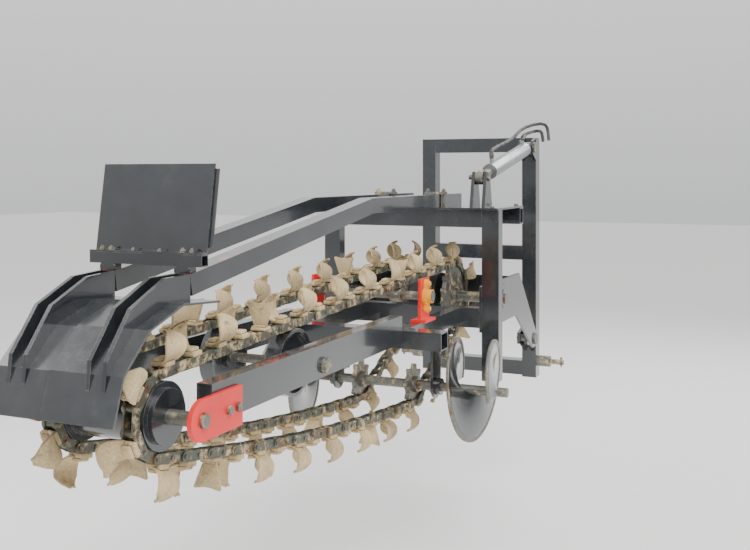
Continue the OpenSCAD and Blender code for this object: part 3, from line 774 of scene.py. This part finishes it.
class TRENCHER_OT_flights(bpy.types.Operator):
    """Model the two spoil augers' flights, with their worn rims"""

    bl_idname = "trencher.flights"
    bl_label = "Auger flights"

    def execute(self, context):
        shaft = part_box("auger_shaft")
        axis_y, axis_z = (shaft[0].y + shaft[1].y) / 2, (shaft[0].z + shaft[1].z) / 2
        for side, sign in (("right", 1), ("left", -1)):
            low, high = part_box(side + "_auger_flight")
            outer = min(high.z - axis_z, axis_z - low.z) - 0.001
            inner = (shaft[1].z - shaft[0].z) / 2 + 0.0005
            x0, x1 = (low.x, high.x) if sign > 0 else (-low.x, -high.x)
            x0, x1 = min(abs(x0), abs(x1)), max(abs(x0), abs(x1))
            parts = []
            web = (inner, outer - RIM_WIDE + WEB_LAP, WEB_T, 10)
            rim = (outer - RIM_WIDE, outer, RIM_T, 3)
            for a, b, thick, rows in (web, rim):
                clear_selection()
                bpy.ops.mesh.primitive_grid_add(x_subdivisions=140, y_subdivisions=rows, size=1)
                flight = context.object
                for v in flight.data.vertices:
                    t, r = v.co.x + 0.5, a + (b - a) * (v.co.y + 0.5)
                    angle = math.radians(FLIGHT_TURN * t)
                    x = x0 + FLIGHT_END + (x1 - x0 - 2 * FLIGHT_END) * t
                    v.co = (x, axis_y + r * math.cos(angle), axis_z + r * math.sin(angle))
                m = flight.modifiers.new("Thickness", "SOLIDIFY")
                m.thickness = thick
                m.offset = 0
                apply_modifiers(flight)
                parts.append(bevelled(flight, 0.002, 2, 40))
            names = (("_flight_web", "black_paint"), ("_flight_rim", "bare_steel"))
            for part, (name, slot) in zip(parts, names):
                if sign < 0:
                    part.data.transform(Matrix.Scale(-1, 4, (1, 0, 0)))
                    part.data.flip_normals()
                settle(part, side + name, "auger", finish_of(slot), 50)
            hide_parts(side + "_auger_flight")
        return {"FINISHED"}


def add_ring(place, major, minor, segments):
    """A thin ring round a line along X."""
    clear_selection()
    bpy.ops.mesh.primitive_torus_add(
        major_radius=major,
        minor_radius=minor,
        major_segments=segments,
        minor_segments=8,
        location=place,
        rotation=(0, math.radians(90), 0),
    )
    return bpy.context.object


def stud(base, out, size, nut=True):
    """A washer, a hexagon nut and a thread end (or a bolt's hexagon head), standing on a face."""
    base, out = Vector(base), Vector(out).normalized()
    parts = [add_rod(base, base + out * 0.16 * size, 1.05 * size, 20)]
    head = add_rod(base + out * 0.15 * size, base + out * (0.95 if nut else 0.8) * size, 0.92 * size, 6)
    parts.append(bevelled(head, 0.06 * size, 2, 25))
    if nut:
        thread = add_rod(base + out * 0.9 * size, base + out * 1.45 * size, 0.48 * size, 14)
        parts.append(bevelled(thread, 0.06 * size, 1, 40))
    return joined(parts)


def bead(start, end, radius):
    """A weld bead: a rod with a ripple every few millimetres."""
    start, end = Vector(start), Vector(end)
    way = end - start
    rings = max(6, int(way.length / 0.002))
    clear_selection()
    bpy.ops.mesh.primitive_grid_add(x_subdivisions=rings, y_subdivisions=8, size=1)
    obj = bpy.context.object
    turn = way.to_track_quat("X", "Z").to_matrix()
    for v in obj.data.vertices:
        s, a = v.co.x + 0.5, (v.co.y + 0.5) * 2 * math.pi
        r = radius * (0.82 + 0.18 * abs(math.sin(s * way.length / 0.0045 * math.pi)))
        if s < 0.001 or s > 0.999:
            r *= 0.4
        v.co = start + turn @ Vector((s * way.length, r * math.cos(a), r * math.sin(a)))
    clear_selection()
    obj.select_set(True)
    bpy.context.view_layer.objects.active = obj
    bpy.ops.object.mode_set(mode="EDIT")
    bpy.ops.mesh.select_all(action="SELECT")
    bpy.ops.mesh.remove_doubles(threshold=0.0002)
    bpy.ops.mesh.fill_holes(sides=0)
    bpy.ops.mesh.select_all(action="SELECT")
    bpy.ops.mesh.normals_make_consistent(inside=False)
    bpy.ops.object.mode_set(mode="OBJECT")
    return obj


class TRENCHER_OT_panel_studs(bpy.types.Operator):
    """Set the studs and nuts on the rear panel's bottom flange, and weld the crossbar's feet"""

    bl_idname = "trencher.panel_studs"
    bl_label = "Panel studs and welds"

    def execute(self, context):
        low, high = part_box("rear_panel")
        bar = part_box("crossbar")
        y = bar[0].y + 0.011
        parts = []
        for x, size in PANEL_STUDS:
            parts.append(stud((x, y, low.z + 0.005), (0, 0, 1), size))
        settle(joined(parts), "panel_studs", "crumber", finish_of("bare_steel"), 40)
        top = low.z + 0.0052
        back = bar[0].y + 0.027
        parts = [bead((low.x + 0.02, back, top), (high.x - 0.02, back, top), 0.0028)]
        for x in (-0.151, -0.103, 0.103, 0.151):
            front = bar[0].y + 0.002
            parts.append(bead((x, front, bar[0].z + 0.001), (x, front, bar[1].z - 0.034), 0.0035))
        settle(joined(parts), "crossbar_welds", "crumber", finish_of("black_paint"), 60)
        return {"FINISHED"}


class TRENCHER_OT_bearing_trim(bpy.types.Operator):
    """Add the seals, collars, set screws and grease nipples of the flange bearings"""

    bl_idname = "trencher.bearing_trim"
    bl_label = "Bearing trim"

    def execute(self, context):
        steel, parts = finish_of("bare_steel"), []
        for group in islands("flange_bearings"):
            low, high = corners(group)
            side = 1 if low.x + high.x > 0 else -1
            face = max(abs(low.x), abs(high.x)) * side
            y, z = (low.y + high.y) / 2, (low.z + high.z) / 2
            parts.append(add_ring((face, y, z), 0.0235, 0.0018, 40))
            collar = add_rod((face - 0.002 * side, y, z), (face + 0.004 * side, y, z), 0.0205, 40)
            parts.append(bevelled(collar, 0.001, 2))
            for turn in (35, 155):
                out = Vector((0, math.cos(math.radians(turn)), math.sin(math.radians(turn))))
                base = Vector((face + 0.0015 * side, y, z)) + out * 0.0195
                parts.append(add_rod(base, base + out * 0.003, 0.0022, 6))
            neck = Vector((face - 0.014 * side, y, z + 0.028))
            bend = neck + Vector((0.004 * side, 0, 0.007))
            parts.append(add_rod(neck, bend, 0.0034, 6))
            parts.append(add_rod(bend, neck + Vector((0.007 * side, 0, 0.012)), 0.0021, 10))
        settle(joined(parts), "bearing_trim", "boom", steel, 40)
        return {"FINISHED"}


class TRENCHER_OT_plate_bolts(bpy.types.Operator):
    """Add the bolts of the portal's top plate"""

    bl_idname = "trencher.plate_bolts"
    bl_label = "Plate bolts"

    def execute(self, context):
        low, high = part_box("portal_top_plate")
        parts = []
        for x in (low.x + 0.03, high.x - 0.03):
            for y in (low.y + 0.02, high.y - 0.02):
                parts.append(stud((x, y, high.z), (0, 0, 1), PLATE_BOLT, nut=False))
        settle(joined(parts), "top_plate_bolts", "boom", finish_of("bare_steel"), 40)
        return {"FINISHED"}


class TRENCHER_OT_pedestal_welds(bpy.types.Operator):
    """Weld the bearing pedestals on their feet"""

    bl_idname = "trencher.pedestal_welds"
    bl_label = "Pedestal welds"

    def execute(self, context):
        parts = []
        seats = {1 if lo.x > 0 else -1: (lo, hi) for lo, hi in map(corners, islands("flange_bearings"))}
        for group in islands("bearing_pedestals"):
            low, high = corners(group)
            side = 1 if low.x + high.x > 0 else -1
            face = min(abs(corner.x) for corner in seats[side]) * side
            top = low.z + 0.0122
            parts.append(bead((face, low.y + 0.012, top), (face, high.y - 0.012, top), 0.0035))
        settle(joined(parts), "pedestal_welds", "boom", finish_of("red_paint"), 60)
        return {"FINISHED"}


class TRENCHER_OT_hitch_trim(bpy.types.Operator):
    """Add the linch pins of the lower hitch pins"""

    bl_idname = "trencher.hitch_trim"
    bl_label = "Linch pins"

    def execute(self, context):
        low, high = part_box("lower_hitch_pins")
        y, z = (low.y + high.y) / 2, (low.z + high.z) / 2
        parts = []
        for side in (1, -1):
            x = (high.x - 0.013) * side
            pin = add_rod((x, y, z - 0.026), (x, y, z + 0.024), 0.0048, 16)
            parts.append(bevelled(pin, 0.001, 1, 40))
            parts.append(add_ring((x, y, z), 0.0215, 0.0019, 36))
            parts.append(bevelled(add_rod((x, y, z + 0.02), (x, y, z + 0.027), 0.0075, 16), 0.0015, 2, 40))
        settle(joined(parts), "linch_pins", "hitch", finish_of("bare_steel"), 40)
        return {"FINISHED"}


class TRENCHER_OT_hose_ends(bpy.types.Operator):
    """Add the crimped ferrules where the hoses meet the cylinder's ports"""

    bl_idname = "trencher.hose_ends"
    bl_label = "Hose ferrules"

    def execute(self, context):
        ports = islands("lift_barrel")
        parts = []
        for group in islands("lift_hoses"):
            near = min(group, key=lambda p: min((p - q).length for g in ports for q in g[::7]))
            ring = [p for p in group if (p - near).length < 0.0195]
            start = sum(ring, Vector()) / len(ring)
            later = [p for p in group if 0.03 < (p - start).length < 0.05]
            if not ring or not later:
                raise RuntimeError("a hose has no end at the cylinder")
            way = (sum(later, Vector()) / len(later) - start).normalized()
            for a, b, r in FERRULE_RINGS:
                parts.append(bevelled(add_rod(start + way * a, start + way * b, r, 28), 0.0008, 1, 40))
        settle(joined(parts), "hose_ferrules", "barrel", finish_of("bare_steel"), 40)
        return {"FINISHED"}


PIECES = [
    TRENCHER_OT_finishes,
    TRENCHER_OT_cutters,
    TRENCHER_OT_chains,
    TRENCHER_OT_flights,
    TRENCHER_OT_panel_studs,
    TRENCHER_OT_bearing_trim,
    TRENCHER_OT_plate_bolts,
    TRENCHER_OT_pedestal_welds,
    TRENCHER_OT_hitch_trim,
    TRENCHER_OT_hose_ends,
]


class TRENCHER_PT_panel(bpy.types.Panel):
    """The trencher's operators and settings"""

    bl_label = "Trencher"
    bl_idname = "TRENCHER_PT_panel"
    bl_space_type = "VIEW_3D"
    bl_region_type = "UI"
    bl_category = "Trencher"

    def draw(self, context):
        for group in (context.scene.trencher_colours, context.scene.trencher_camera):
            box = self.layout.box()
            for key in group.bl_rna.properties.keys():
                if key not in ("rna_type", "name"):
                    box.prop(group, key)
        for op in PIECES + [TRENCHER_OT_stage]:
            self.layout.operator(op.bl_idname)


CLASSES = [TrencherColours, TrencherCamera, *PIECES, TRENCHER_OT_stage, TRENCHER_PT_panel]


def register():
    """Registers the classes and their settings."""
    for c in CLASSES:
        bpy.utils.register_class(c)
    bpy.types.Scene.trencher_colours = bpy.props.PointerProperty(type=TrencherColours)
    bpy.types.Scene.trencher_camera = bpy.props.PointerProperty(type=TrencherCamera)


def unregister():
    """Takes them away again."""
    del bpy.types.Scene.trencher_camera
    del bpy.types.Scene.trencher_colours
    for c in reversed(CLASSES):
        bpy.utils.unregister_class(c)


def main():
    """Builds every piece and the stage."""
    register()
    for op in (*PIECES, TRENCHER_OT_stage):
        name = op.bl_idname.split(".")[1]
        getattr(bpy.ops.trencher, name)()


if __name__ == "__main__":
    main()
